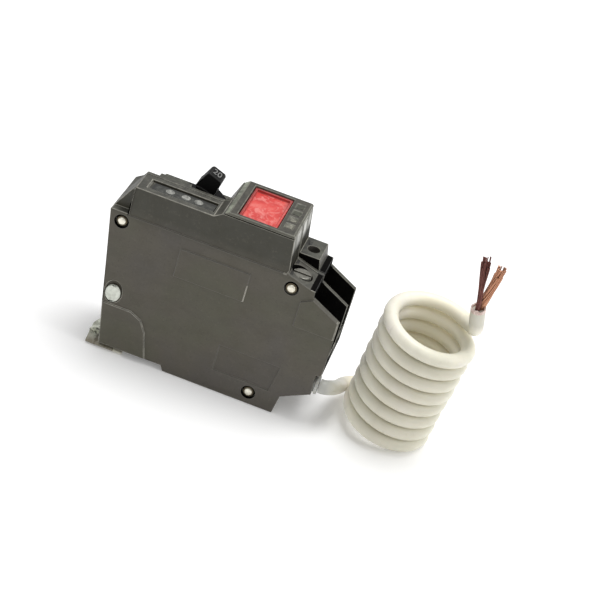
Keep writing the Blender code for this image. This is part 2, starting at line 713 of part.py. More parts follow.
def pigtail_coil():
    """The space of the eight turns: a ring that widens upwards, leans, and touches the surface at one edge."""
    axis = Vector(COIL_AXIS).normalized()
    tilt = math.acos(axis.z)
    inner, outer = COIL_R[0] - WIRE_R + 0.1, COIL_R[0] + WIRE_R
    ring = rod("pigtail_coil", (0, 0), outer, 0, COIL_RISE + 0.7, "Z", 40)
    widen = (COIL_R[1] + WIRE_R) / outer
    for corner in ring.data.vertices:
        if corner.co.z > 0:
            corner.co.x *= widen
            corner.co.y *= widen
    cut(ring, rod("bore", (0, 0), inner, -5, COIL_RISE + 9, "Z", 40))
    finish(ring, white_wire())
    ring.rotation_euler = Vector((0, 0, 1)).rotation_difference(axis).to_euler()
    ring.location = Vector((*COIL_BASE, outer * math.sin(tilt))) * MM
    for modifier in ring.modifiers:
        modifier.object.parent = ring
    return ring


def copper_strands():
    dark = [(78.2, -2.4, 57.3), (77.7, -2.5, 60.5), (76.6, -2.7, 67.0), (75.3, -2.9, 75.9)]
    bright = [(78.8, -0.4, 57.3), (79.3, -0.7, 60.5), (80.1, -1.6, 66.5), (81.0, -2.6, 73.6)]
    return [tube("strands_dark", smooth_route(dark, 2), 0.75, 2, copper()),
            tube("strands_bright", smooth_route(bright, 2), 0.95, 2, copper())]


def build():
    clear_scene()
    near_cover()
    centre_barrier()
    far_case()
    test_bezel()
    label_strip()
    test_button()
    button_spring()
    spring_shelf()
    test_contact()
    circuit_board()
    current_transformer()
    neutral_inner_lead()
    solenoid_frame()
    solenoid_coil()
    solenoid_plunger()
    surge_disc()
    control_chip()
    lug_body("neutral_lug", (-9.8, -2.6))
    lug_screw("neutral_screw", -6.2, 3.1, 49.3)
    neutral_strap()
    lug_body("load_lug", (2.3, 9.7))
    lug_screw("load_screw", 6.0, 2.6, 47.6)
    handle()
    contact_arm()
    contact_tips()
    line_strap()
    line_jaw()
    jaw_spring()
    arc_plates()
    cradle()
    toggle_spring()
    armature()
    magnet_yoke()
    bimetal()
    load_strap()
    flexible_braid()
    pins()
    rivets()
    pigtail_gland()
    tube("pigtail_lead", smooth_route(LEAD_ROUTE, 2), WIRE_R, 2, white_wire())
    pigtail_coil()
    tube("pigtail_tail", smooth_route(TAIL_ROUTE, 2), WIRE_R, 2, white_wire())
    copper_strands()


build()
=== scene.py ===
"""Looks of the one-pole plug-in GFCI breaker: camera, pigtail, moulded detail, materials, studio.

The object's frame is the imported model's. Lengths are in millimetres unless a comment says metres,
and MM turns them into metres. Material ranges along an axis, the lamps and the floor are in metres.
"""

import json
import math
import random

import bmesh
import bpy
from mathutils import Matrix, Vector


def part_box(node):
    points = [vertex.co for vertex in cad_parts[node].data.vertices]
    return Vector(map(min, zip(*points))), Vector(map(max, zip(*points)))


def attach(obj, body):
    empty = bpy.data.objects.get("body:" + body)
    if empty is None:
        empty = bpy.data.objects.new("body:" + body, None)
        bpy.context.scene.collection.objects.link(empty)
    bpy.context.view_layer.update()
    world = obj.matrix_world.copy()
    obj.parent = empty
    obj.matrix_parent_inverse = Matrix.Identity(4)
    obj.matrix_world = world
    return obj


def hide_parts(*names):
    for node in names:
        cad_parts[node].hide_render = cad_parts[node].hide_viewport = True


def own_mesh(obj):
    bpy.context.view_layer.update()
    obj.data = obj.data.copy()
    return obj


MM = 0.001
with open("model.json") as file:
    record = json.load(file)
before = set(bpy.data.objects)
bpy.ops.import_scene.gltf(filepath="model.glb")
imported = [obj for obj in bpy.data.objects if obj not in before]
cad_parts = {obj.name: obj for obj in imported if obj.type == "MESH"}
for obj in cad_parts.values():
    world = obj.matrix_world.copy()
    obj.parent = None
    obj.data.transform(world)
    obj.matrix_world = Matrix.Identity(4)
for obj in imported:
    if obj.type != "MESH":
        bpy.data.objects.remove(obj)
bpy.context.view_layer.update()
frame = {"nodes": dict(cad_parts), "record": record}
nodes = frame["nodes"]
scene = bpy.context.scene
bodies = frame["record"]["behaviour"]["bodies"]
body_names = {node: body for body, held in bodies.items() for node in held}

# Pigtail: the route of the part, from the gland to the bare end
WIRE_R = 2.42
EXIT = (39.8, -8.6, 14.0)
LEAD = [
    EXIT, (41.1, -8.55, 14.0), (42.6, -6.9, 13.4), (44.1, -2.2, 11.2), (44.9, 3.2, 8.6),
    (46.5, 10.3, 6.2), (51.7, 17.1, 4.3), (58.3, 20.4, 3.0), (65.0, 20.5, 2.5), (71.0, 16.6, 2.45),
]
TAIL = [
    (79.0, 5.4, 45.9), (79.7, 2.6, 47.4), (79.5, 0.4, 50.4), (78.9, -0.8, 53.6), (78.4, -1.4, 56.5),
]
DARK_SPINE = [(78.2, -2.3, 56.0), (77.7, -2.5, 60.5), (76.6, -2.7, 67.0), (75.3, -2.9, 75.4)]
BRIGHT_SPINE = [(78.7, -0.6, 56.0), (79.3, -0.8, 60.5), (80.1, -1.6, 66.5), (80.8, -2.6, 73.3)]
COIL_FOOT = Vector((62.74, 2.70, 3.40))
COIL_AXIS = Vector((0.101, -0.0371, 1.0)).normalized()
COIL_R = (12.98, 13.69)
COIL_PITCH = 5.235
COIL_START = 25.0
COIL_TURNS = 7.947

# Camera: fitted to the view, with the roll of the picture
CAMERA_PLACE = (72.0601, -506.476, 338.8793)
CAMERA_AIM = (24.533, 0.0, 36.2345)
CAMERA_ROLL = 17.7741
CAMERA_LENS = 111.5324
SENSOR_WIDTH = 36.0

# The floor lies this far under the object, in metres, so that the two don't flicker
FLOOR_GAP = 0.00015

# Handle at rest, and where the number lies from its pivot
HANDLE_PIVOT = Vector((-19.3, 6.9, 44.5))
HANDLE_LEAN = 21.0
NUMBER_HEIGHT = 21.31
NUMBER_BACK = 1.6
NUMBER_SIZE = 3.3

# Mesh clean-up: the weld is in metres and the angles are in degrees
WELD_DISTANCE = 2e-6
FLAT_ANGLE = 0.6
BEVEL_ANGLE = 28

# Strands fill their bundle by the golden angle, in radians
GOLDEN_ANGLE = 2.39996

# Rivets: radius and height of a crown, and how much of its height the strap rivet's oval keeps
RIVET_CROWN = (1.34, 0.5)
OVAL_HEIGHT = 0.86

# Rivet seats on the near cover, as x and z, and the neutral screw's well, as x and y
RIVET_SEATS = ((-35.2, 47.4), (18.7, 4.1), (22.0, 46.2))
LUG_WELL = (23.3, -6.2)

# Low relief on the near cover: rectangles as (middle, reach) along X, then along Z
QUIET_EDGES = (
    ((-4.3, 12.1), (40.7, 6.5)),
    ((22.0, 16.8), (22.9, 24.9)),
    ((-7.4, 25.6), (50.3, 1.2)),
    ((-35.2, 3.0), (47.4, 3.0)),
    ((23.9, 4.2), (49.4, 1.5)),
)

# Material slots of the case mouldings, in order: skin; rim, paler from wear and painted highlight;
# painted black shade; the block's end wall with painted light
SKIN, RIM, SHADOW, WALL = range(4)


# ---------------------------------------------------------------- camera


def add_camera():
    data = bpy.data.cameras.new("camera")
    data.lens = CAMERA_LENS
    data.sensor_width = SENSOR_WIDTH
    data.clip_start = 0.01
    place = Vector(CAMERA_PLACE) * MM
    forward = (Vector(CAMERA_AIM) * MM - place).normalized()
    level = forward.cross(Vector((0, 0, 1))).normalized()
    upright = level.cross(forward)
    roll = math.radians(CAMERA_ROLL)
    side = math.cos(roll) * level + math.sin(roll) * upright
    top = math.cos(roll) * upright - math.sin(roll) * level
    camera = bpy.data.objects.new("camera", data)
    turn = Matrix((side, top, -forward)).transposed().to_4x4()
    camera.matrix_world = Matrix.Translation(place) @ turn
    scene.collection.objects.link(camera)
    scene.camera = camera


# ---------------------------------------------------------------- material builders


class Shader:
    """A Principled material under construction, with its nodes laid out by short calls."""

    def __init__(self, name, metallic=0.0):
        self.material = bpy.data.materials.new(name)
        self.material.use_nodes = True
        self.tree = self.material.node_tree
        self.surface = self.tree.nodes["Principled BSDF"]
        self.surface.inputs["Metallic"].default_value = metallic
        self.place = self.tree.nodes.new("ShaderNodeTexCoord").outputs["Object"]

    def link(self, source, target):
        self.tree.links.new(source, target)

    def set(self, socket, value):
        self.surface.inputs[socket].default_value = value

    def stretched(self, scale):
        mapping = self.tree.nodes.new("ShaderNodeMapping")
        mapping.inputs["Scale"].default_value = scale
        self.link(self.place, mapping.inputs["Vector"])
        return mapping.outputs["Vector"]

    def noise(self, scale, detail=3.0, rough=0.55, place=None, distortion=0.0):
        node = self.tree.nodes.new("ShaderNodeTexNoise")
        node.inputs["Scale"].default_value = scale
        node.inputs["Detail"].default_value = detail
        node.inputs["Roughness"].default_value = rough
        node.inputs["Distortion"].default_value = distortion
        self.link(place or self.place, node.inputs["Vector"])
        return node.outputs["Fac"]

    def ramp(self, factor, stops):
        node = self.tree.nodes.new("ShaderNodeValToRGB")
        band = node.color_ramp
        while len(band.elements) < len(stops):
            band.elements.new(0.5)
        for element, (at, colour) in zip(band.elements, stops):
            element.position = at
            element.color = (*colour, 1.0)
        self.link(factor, node.inputs["Fac"])
        return node.outputs["Color"]

    def mix(self, factor, first, second):
        node = self.tree.nodes.new("ShaderNodeMix")
        node.data_type = "RGBA"
        for socket, value in (("Factor", factor), ("A", first), ("B", second)):
            found = [s for s in node.inputs if s.name == socket and s.enabled][0]
            if isinstance(value, tuple):
                found.default_value = (*value, 1.0)
            else:
                self.link(value, found)
        return [s for s in node.outputs if s.enabled][0]

    def span(self, value, low, high, to_low=0.0, to_high=1.0):
        node = self.tree.nodes.new("ShaderNodeMapRange")
        ends = {"From Min": low, "From Max": high, "To Min": to_low, "To Max": to_high}
        for socket, number in ends.items():
            node.inputs[socket].default_value = number
        self.link(value, node.inputs["Value"])
        return node.outputs["Result"]

    def times(self, first, second):
        node = self.tree.nodes.new("ShaderNodeMath")
        node.operation = "MULTIPLY"
        self.link(first, node.inputs[0])
        self.link(second, node.inputs[1])
        return node.outputs["Value"]

    def axis(self, letter):
        node = self.tree.nodes.new("ShaderNodeSeparateXYZ")
        self.link(self.place, node.inputs["Vector"])
        return node.outputs[letter]

    def facing(self, letter):
        node = self.tree.nodes.new("ShaderNodeSeparateXYZ")
        coordinates = self.tree.nodes.new("ShaderNodeTexCoord")
        self.link(coordinates.outputs["Normal"], node.inputs["Vector"])
        return node.outputs[letter]

    def near(self, letter, middle, reach):
        """One within a reach of a place along an axis of the piece, and zero beyond."""
        node = self.tree.nodes.new("ShaderNodeMath")
        node.operation = "COMPARE"
        self.link(self.axis(letter), node.inputs[0])
        node.inputs[1].default_value = middle * MM
        node.inputs[2].default_value = reach * MM
        return node.outputs["Value"]

    def patch(self, x, z):
        """One inside a rectangle seen from the front: (middle, reach) along X, then along Z."""
        return self.times(self.near("X", *x), self.near("Z", *z))

    def colour(self, source):
        self.link(source, self.surface.inputs["Base Color"])

    def roughness(self, source, low, high):
        self.link(self.span(source, 0.3, 0.7, low, high), self.surface.inputs["Roughness"])

    def bump(self, height, distance, strength=0.6):
        node = self.tree.nodes.new("ShaderNodeBump")
        node.inputs["Strength"].default_value = strength
        node.inputs["Distance"].default_value = distance * MM
        self.link(height, node.inputs["Height"])
        self.link(node.outputs["Normal"], self.surface.inputs["Normal"])


def scaled(factor, tone):
    return tuple(factor * c for c in tone)


def grain(tone, amount):
    """The tone and the same tone made darker and lighter by an amount, for a colour ramp."""
    return [(0.3, scaled(1 - amount, tone)), (0.5, tone), (0.7, scaled(1 + amount, tone))]


def case_plastic(name, warm, olive, plum, top, painted_band_shade=0.0):
    """Moulded thermoset: slow shifts of tone, painted shade above a set height when asked, upward
    faces in a top tone of dust and painted shade, a painted crease shadow, painted shade at the
    block's foot, scuffs and a fine skin.
    """
    look = Shader(name)
    slow = look.ramp(look.noise(38.0, 2.0), [(0.36, olive), (0.5, warm), (0.64, plum)])
    streaks = look.noise(55.0, 4.0, 0.6, look.stretched((1.0, 1.0, 3.4)), 0.6)
    shaded = look.mix(look.span(streaks, 0.42, 0.7, 0.0, 0.4), slow, scaled(0.74, warm))
    if painted_band_shade:
        # Painted shade: the piece darkens above about 49 mm height, for the shaded upper band.
        level = look.span(look.axis("Z"), 0.0485, 0.0535, 0.0, painted_band_shade)
        shaded = look.mix(level, shaded, scaled(0.5, olive))
    # The upward faces take the top tone as a painted shade, with pale and dark dust spots on them.
    dust_and_painted_shade = look.mix(look.span(look.facing("Z"), 0.55, 0.95, 0.0, 0.9), shaded, top)
    blotch = look.noise(330.0, 4.0, 0.75, None, 0.6)
    upper = look.span(look.facing("Z"), 0.55, 0.95)
    pale_spots = look.times(upper, look.span(blotch, 0.5, 0.62, 0.0, 0.8))
    dust_and_painted_shade = look.mix(pale_spots, dust_and_painted_shade, scaled(1.6, top))
    dark_spots = look.times(upper, look.span(blotch, 0.38, 0.48, 0.7, 0.0))
    dust_and_painted_shade = look.mix(dark_spots, dust_and_painted_shade, scaled(0.5, top))
    # Painted shadow: a near-black crease where the block wall meets the near lug's top.
    painted_crease_shadow = look.times(look.patch((20.2, 0.8), (50.2, 1.4)), look.near("Y", -6.0, 5.2))
    dust_and_painted_shade = look.mix(painted_crease_shadow, dust_and_painted_shade, scaled(0.12, warm))
    # Painted shade: a dark, noise-broken strip at the foot of the block.
    foot = look.patch((20.9, 1.2), (52.0, 0.5))
    painted_low_shade = look.times(foot, look.span(look.noise(420.0, 3.0), 0.4, 0.6, 0.35, 0.95))
    dust_and_painted_shade = look.mix(painted_low_shade, dust_and_painted_shade, scaled(0.2, olive))
    fine = look.noise(900.0, 3.0, 0.7)
    speckled = look.mix(look.span(fine, 0.56, 0.72, 0.0, 0.22), dust_and_painted_shade, scaled(1.7, warm))
    pits = look.span(look.noise(1600.0, 2.0), 0.6, 0.75, 0.0, 0.4)
    look.colour(look.mix(pits, speckled, scaled(0.5, warm)))
    look.roughness(look.noise(210.0, 4.0, 0.65), 0.42, 0.62)
    look.bump(look.noise(2600.0, 2.0, 0.6), 0.05, 0.5)
    return look.material


def edge_wear_and_highlight(name, tone, quiet=None):
    """The rim of a moulded edge: paler than the face, partly rubbed wear and partly painted
    highlight, and painted black shade at the wire pockets' brow.

    With a quiet tone, the low relief of the near cover takes that tone.
    """
    look = Shader(name)
    stops = [(0.34, scaled(0.55, tone)), (0.5, tone), (0.68, scaled(1.35, tone))]
    pale = look.ramp(look.noise(420.0, 4.0, 0.7), stops)
    if quiet:
        for x, z in QUIET_EDGES:
            pale = look.mix(look.patch(x, z), pale, quiet)
        # Painted highlight: a paler strip on the rating panel's right edge.
        pale = look.mix(look.patch((8.5, 0.4), (38.6, 3.0)), pale, scaled(1.3, tone))
    # Painted shade: the rims at the wire pockets' brow go black.
    brow = look.times(look.patch((28.9, 1.5), (46.9, 1.75)), look.near("Y", 0.0, 11.7))
    pale = look.mix(brow, pale, (0.004, 0.0035, 0.003))
    look.colour(pale)
    look.roughness(look.noise(600.0), 0.35, 0.6)
    look.bump(look.noise(2400.0, 2.0), 0.04, 0.5)
    return look.material


def ribbed_wall_painted_light():
    """The block's end wall: a painted highlight, pale with upright bands at the top, and painted
    shade lower down.
    """
    look = Shader("end_wall_painted_light")
    bands = look.noise(260.0, 3.0, 0.6, look.stretched((1.0, 1.0, 0.1)))
    # Painted highlight: the pale banded tone at the top of the wall.
    pale = look.ramp(bands, [(0.36, (0.12, 0.12, 0.105)), (0.48, (0.28, 0.28, 0.26)),
                             (0.6, (0.6, 0.6, 0.57))])
    # Painted shade: the dark tone of the lower wall.
    painted_low_shade = look.ramp(look.noise(420.0, 4.0, 0.7), [(0.4, (0.008, 0.0075, 0.005)),
                                                   (0.62, (0.036, 0.034, 0.024))])
    look.colour(look.mix(look.span(look.axis("Z"), 0.0562, 0.0588, 1.0, 0.0), pale, painted_low_shade))
    look.roughness(look.noise(500.0), 0.6, 0.8)
    look.set("Specular IOR Level", 0.15)
    look.bump(bands, 0.15, 0.5)
    return look.material


def plastic(name, tone, amount=0.18, rough=(0.3, 0.5), slow=160.0, gloss=0.5):
    """Moulded plastic in one tone, a little uneven, with a fine skin."""
    look = Shader(name)
    look.set("Specular IOR Level", gloss)
    look.colour(look.ramp(look.noise(slow, 4.0, 0.6), grain(tone, amount)))
    look.roughness(look.noise(slow * 2.5, 4.0, 0.65), *rough)
    look.bump(look.noise(2400.0, 2.0, 0.6), 0.04, 0.45)
    return look.material


def mottled(name, dark, light, scale):
    """Print or cast texture in two tones that run into each other."""
    look = Shader(name)
    middle = tuple((a + b) / 2 for a, b in zip(dark, light))
    stops = [(0.38, dark), (0.5, middle), (0.6, light)]
    look.colour(look.ramp(look.noise(scale, 4.0, 0.7, None, 0.8), stops))
    look.roughness(look.noise(scale * 1.6), 0.42, 0.66)
    look.bump(look.noise(scale * 2.4, 3.0), 0.05, 0.5)
    return look.material


def metal(name, tone, rough=(0.22, 0.45), brushed=(1.0, 1.0, 22.0), tarnish=0.35,
          stain=(0.2, 0.17, 0.13)):
    """Bare or plated metal: rolling or turning lines, and patches of tarnish."""
    look = Shader(name, metallic=1.0)
    lines = look.noise(900.0, 3.0, 0.6, look.stretched(brushed))
    bright = look.ramp(lines, grain(tone, 0.14))
    patches = look.span(look.noise(230.0, 4.0, 0.7), 0.5, 0.72, 0.0, tarnish)
    look.colour(look.mix(patches, bright, stain))
    look.roughness(look.noise(340.0, 4.0, 0.6), *rough)
    look.bump(lines, 0.03, 0.35)
    return look.material


# ---------------------------------------------------------------- mesh builders


def new_object(name, bm, materials):
    """An object in the scene from a bmesh, which it uses up."""
    mesh = bpy.data.meshes.new(name)
    bm.to_mesh(mesh)
    bm.free()
    for material in materials:
        mesh.materials.append(material)
    obj = bpy.data.objects.new(name, mesh)
    scene.collection.objects.link(obj)
    return obj


def smooth(obj, degrees=32):
    """Shaded smooth, and sharp where two faces meet at more than this angle."""
    obj.data.shade_smooth()
    obj.data.set_sharp_from_angle(angle=math.radians(degrees))
    return obj


def add_bevel(obj, width, segments, edge_slot):
    """Rounded edges in the look of a material slot, with the flats kept flat."""
    bevel = obj.modifiers.new("rounded_edges", "BEVEL")
    bevel.width = width * MM
    bevel.segments = segments
    bevel.limit_method = "ANGLE"
    bevel.angle_limit = math.radians(BEVEL_ANGLE)
    bevel.use_clamp_overlap = False
    bevel.material = edge_slot
    weighted = obj.modifiers.new("flat_faces", "WEIGHTED_NORMAL")
    weighted.keep_sharp = False
    weighted.weight = 100
    return obj


def settle(piece, body, slot, *replaced):
    """The piece rides a body and stands for the nodes it replaces; the slot is not used."""
    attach(piece, body)
    if replaced:
        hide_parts(*replaced)
    return piece


def reshaped(node, slot, materials, width, segments=2, choose=None):
    """The node's own shape with its flat faces whole again and its edges rounded."""
    source = nodes[node].data
    bm = bmesh.new()
    corners = [bm.verts.new(v.co) for v in source.vertices]
    for polygon in source.polygons:
        loop = [corners[i] for i in polygon.vertices]
        if len(set(loop)) == len(loop):
            try:
                bm.faces.new(loop)
            except ValueError:
                continue
    bmesh.ops.remove_doubles(bm, verts=bm.verts, dist=WELD_DISTANCE)
    flat = math.radians(FLAT_ANGLE)
    bmesh.ops.dissolve_limit(bm, angle_limit=flat, verts=bm.verts, edges=bm.edges)
    bmesh.ops.recalc_face_normals(bm, faces=bm.faces)
    if choose:
        for face in bm.faces:
            face.material_index = choose(face.calc_center_median() / MM, face.normal)
    bmesh.ops.triangulate(bm, faces=[face for face in bm.faces if len(face.verts) > 4])
    piece = smooth(new_object(f"{node}_moulded", bm, materials))
    if width:
        add_bevel(piece, width, segments, min(RIM, len(materials) - 1))
    return settle(piece, body_names[node], slot, node)


def turned(name, profile, centre, along, material, steps=40):
    """A lathe shape: (radius, height) points about an axis through a centre."""
    bm = bmesh.new()
    rings = []
    for radius, height in profile:
        if radius < 1e-6:
            rings.append([bm.verts.new((0, 0, height * MM))])
            continue
        turns = [2 * math.pi * i / steps for i in range(steps)]
        r, h = radius * MM, height * MM
        rings.append([bm.verts.new((r * math.cos(a), r * math.sin(a), h)) for a in turns])
    for lower, upper in zip(rings, rings[1:]):
        for i in range(steps):
            j = (i + 1) % steps
            loop = [lower[i % len(lower)], lower[j % len(lower)],
                    upper[j % len(upper)], upper[i % len(upper)]]
            loop = [v for k, v in enumerate(loop) if v not in loop[:k]]
            if len(loop) > 2:
                bm.faces.new(loop)
    for ring in (rings[0], rings[-1]):
        if len(ring) > 1:
            bm.faces.new(ring)
    turn = Vector((0, 0, 1)).rotation_difference(Vector(along)).to_matrix().to_4x4()
    bm.transform(Matrix.Translation(Vector(centre) * MM) @ turn)
    bmesh.ops.recalc_face_normals(bm, faces=bm.faces)
    return smooth(new_object(name, bm, [material]), 40)


def slab(name, outline, low, high, materials):
    """A thin plate with rounded edges, from its outline seen from above."""
    bm = bmesh.new()
    ends = [[bm.verts.new(Vector((u, v, w)) * MM) for u, v in outline] for w in (low, high)]
    bm.faces.new(ends[0])
    bm.faces.new(ends[1])
    for i in range(len(outline)):
        j = (i + 1) % len(outline)
        bm.faces.new((ends[0][i], ends[0][j], ends[1][j], ends[1][i]))
    bmesh.ops.recalc_face_normals(bm, faces=bm.faces)
    return add_bevel(smooth(new_object(name, bm, materials)), 0.1, 2, 0)


def rectangle(u, v):
    """Corners from the ends along X and along Y."""
    return [(u[0], v[0]), (u[1], v[0]), (u[1], v[1]), (u[0], v[1])]


def tubes(name, routes, radius, material, resolution):
    """Round tubes along routes, as one piece."""
    curve = bpy.data.curves.new(name, "CURVE")
    curve.dimensions = "3D"
    curve.bevel_depth = radius * MM
    curve.bevel_resolution = resolution
    curve.use_fill_caps = True
    for route in routes:
        spline = curve.splines.new("POLY")
        spline.points.add(len(route) - 1)
        for point, place in zip(spline.points, route):
            point.co = (*(Vector(place) * MM), 1.0)
        spline.use_smooth = True
    curve.materials.append(material)
    obj = bpy.data.objects.new(name, curve)
    scene.collection.objects.link(obj)
    return obj


def smooth_route(route, per_span):
    """Points on a smooth curve (Catmull-Rom) through the route's own points."""
    ends = [2 * Vector(route[0]) - Vector(route[1])]
    ends += [Vector(p) for p in route]
    ends += [2 * ends[-1] - ends[-2]]
    points = []
    for a, b, c, d in zip(ends, ends[1:], ends[2:], ends[3:]):
        for i in range(per_span):
            t = i / per_span
            points.append(0.5 * (2 * b + (c - a) * t + (2 * a - 5 * b + 4 * c - d) * t**2
                                 + (3 * b - a - 3 * c + d) * t**3))
    points.append(ends[-2])
    return points


# ---------------------------------------------------------------- pigtail


def coil_route(per_turn=40):
    """The coil's centre line: a slightly uneven helix about a leaning axis, from the foot up."""
    across = Vector((1, 0, 0)) - COIL_AXIS * COIL_AXIS.x
    across.normalize()
    away = COIL_AXIS.cross(across)
    points = []
    count = round(COIL_TURNS * per_turn)
    for i in range(count + 1):
        t = COIL_TURNS * i / count
        angle = math.radians(COIL_START) - 2 * math.pi * t
        loose = 0.10 * math.sin(1.7 * angle + 0.6) + 0.06 * math.sin(3.1 * angle)
        radius = COIL_R[0] + (COIL_R[1] - COIL_R[0]) * t / COIL_TURNS + loose
        rise = COIL_PITCH * t + 0.07 * math.sin(2.3 * angle + 1.1) * min(1.0, t)
        spoke = math.cos(angle) * across + math.sin(angle) * away
        points.append(COIL_FOOT + radius * spoke + rise * COIL_AXIS)
    return points


def strand_bundle(name, spine, radius, count, thread, material, seed, fork=0.0):
    """Fine bare strands in a lazy twist about a spine, fanning out, cut to uneven lengths."""
    chance = random.Random(seed)
    line = smooth_route(spine, 5)
    routes = []
    for i in range(count):
        share = math.sqrt((i + 0.5) / count)
        start = i * GOLDEN_ANGLE
        trim = chance.randint(0, 2)
        drift = chance.uniform(-0.12, 0.12)
        route = []
        for k, here in enumerate(line[:len(line) - trim]):
            t = k / (len(line) - 1)
            ahead = (line[min(k + 1, len(line) - 1)] - line[max(k - 1, 0)]).normalized()
            u = ahead.cross(Vector((0, 1, 0))).normalized()
            v = ahead.cross(u)
            turn = start + 1.5 * t + drift * math.sin(9 * t + i)
            spread = radius * share * (1 + 0.35 * t * t)
            side = fork * max(0.0, t - 0.55) * (1 if math.cos(start) > 0 else -1)
            route.append(here + spread * (math.cos(turn) * u + math.sin(turn) * v) + side * u)
        routes.append(route)
    return tubes(name, routes, thread, material, 1)


def insulation_lip(material):
    """The cut end of the insulation: a hollow, slightly torn rim round the strands."""
    heading = (Vector(TAIL[-1]) - Vector(TAIL[-2])).normalized()
    bm = bmesh.new()
    steps = 36
    rings = []
    section = ((2.42, -0.5, 0), (2.44, 0.4, 1), (2.2, 0.75, 1), (1.85, 0.6, 1), (1.75, -0.3, 0))
    for radius, height, ragged in section:
        ring = []
        for i in range(steps):
            a = 2 * math.pi * i / steps
            tear = ragged * (0.28 * math.sin(3 * a + 0.7) + 0.16 * math.sin(7 * a)
                             + 0.1 * math.sin(13 * a + 2))
            place = Vector((radius * math.cos(a), radius * math.sin(a), height + tear))
            ring.append(bm.verts.new(place * MM))
        rings.append(ring)
    for lower, upper in zip(rings, rings[1:] + rings[:1]):
        for i in range(steps):
            j = (i + 1) % steps
            bm.faces.new((lower[i], lower[j], upper[j], upper[i]))
    turn = Vector((0, 0, 1)).rotation_difference(heading).to_matrix().to_4x4()
    bm.transform(Matrix.Translation(Vector(TAIL[-1]) * MM) @ turn)
    bmesh.ops.recalc_face_normals(bm, faces=bm.faces)
    return smooth(new_object("insulation_lip", bm, [material]), 60)


def vinyl():
    """Cream vinyl insulation: faint smears, a darker low near side, and a far side made paler and
    yellower by yellowing and painted light.
    """
    look = Shader("cream_vinyl")
    tone = look.ramp(look.noise(70.0, 3.0), [(0.35, (0.72, 0.70, 0.58)), (0.5, (0.80, 0.775, 0.65)),
                                             (0.66, (0.83, 0.79, 0.70))])
    ink = look.noise(260.0, 5.0, 0.7, look.stretched((1, 1, 0.5)), 0.8)
    tone = look.mix(look.span(ink, 0.56, 0.74, 0.0, 0.35), tone, (0.55, 0.52, 0.42))
    # Darker on the near side, low down and towards +X.
    near_low_darkening = look.times(look.span(look.axis("Y"), -0.0095, -0.002, 0.55, 0.0),
                         look.span(look.axis("X"), 0.051, 0.060, 0.0, 1.0))
    near_low_darkening = look.times(near_low_darkening, look.span(look.axis("Z"), 0.037, 0.043, 1.0, 0.0))
    tone = look.mix(near_low_darkening, tone, (0.52, 0.49, 0.39))
    # The far side is paler and yellower: yellowing, and painted light on the inside of the coil.
    yellowing_and_painted_light = look.span(look.axis("Y"), 0.006, 0.013, 0.0, 0.85)
    tone = look.mix(yellowing_and_painted_light, tone, (0.95, 0.89, 0.70))
    # The lead is greyer near the case.
    lead_greyer_near_case = look.span(look.axis("X"), 0.042, 0.047, 0.85, 0.0)
    tone = look.mix(lead_greyer_near_case, tone, (0.36, 0.365, 0.35))
    dirty_tail = look.span(look.axis("Z"), 0.0475, 0.051, 0.0, 0.75)
    look.colour(look.mix(dirty_tail, tone, (0.5, 0.49, 0.41)))
    look.roughness(look.noise(400.0, 3.0), 0.34, 0.52)
    look.set("Subsurface Weight", 0.12)
    look.set("Subsurface Radius", (0.6, 0.5, 0.35))
    look.set("Subsurface Scale", 0.001)
    look.bump(look.noise(520.0, 3.0, 0.6), 0.10, 0.5)
    return look.material


def add_pigtail():
    insulation = vinyl()
    coil = coil_route()
    lead = smooth_route(LEAD + [coil[0]], 7)
    tail = smooth_route([coil[-1]] + TAIL, 7)
    route = lead[:-1] + coil + tail[1:]
    cord = tubes("pigtail_wire", [route], WIRE_R, insulation, 6)
    settle(cord, "case", "white_wire", "pigtail_lead", "pigtail_coil", "pigtail_tail")
    torn = mottled("torn_vinyl", (0.5, 0.36, 0.31), (0.75, 0.62, 0.56), 900.0)
    lip = settle(insulation_lip(torn), "case", "white_wire")
    drawn = (1, 1, 6)
    aged = metal("aged_strand", (0.22, 0.095, 0.08), (0.4, 0.6), drawn, 0.5, (0.06, 0.03, 0.035))
    fresh = metal("bright_strand", (0.52, 0.27, 0.17), (0.3, 0.5), drawn, 0.35,
                  (0.25, 0.12, 0.06))
    dark = strand_bundle("strand_bundle_dark", DARK_SPINE, 0.72, 20, 0.17, aged, 4, 1.7)
    bright = strand_bundle("strand_bundle_bright", BRIGHT_SPINE, 1.2, 44, 0.2, fresh, 9)
    settle(dark, "case", "copper", "strands_dark")
    settle(bright, "case", "copper", "strands_bright")
    return insulation


# ---------------------------------------------------------------- case


def painted_recess_shade():
    """Painted shade: matt near-black for the insides of the wells and pockets."""
    look = Shader("painted_recess_shade")
    stops = [(0.4, (0.002, 0.0018, 0.0016)), (0.7, (0.005, 0.0045, 0.004))]
    look.colour(look.ramp(look.noise(400.0, 4.0, 0.7), stops))
    look.roughness(look.noise(300.0), 0.85, 1.0)
    look.set("Specular IOR Level", 0.06)
    look.bump(look.noise(900.0), 0.05, 0.5)
    return look.material


def cover_faces(place, facing):
    """Which look a flat of the near cover takes, from its middle and its direction."""
    in_pocket = place.x > 28 and 26 < place.z < 49 and place.y > -11.3
    in_seat = place.y > -11.95 and any(
        math.hypot(place.x - x, place.z - z) < 2.6 for x, z in RIVET_SEATS)
    off_well = math.hypot(place.x - LUG_WELL[0], place.y - LUG_WELL[1])
    in_well = abs(facing.z) < 0.5 and off_well < 3.8 and place.z < 50
    at_brow = place.x > 27.2 and 45.7 < place.z < 48.6 and place.y > -11.9
    # Painted shade: the pockets, the rivet seats, the screw well and the pockets' brow take the
    # black shade material.
    if in_pocket or in_seat or in_well or at_brow:
        return SHADOW
    # The block's +X end wall takes the wall material with painted light.
    return WALL if facing.x > 0.9 and place.z > 50.7 else SKIN


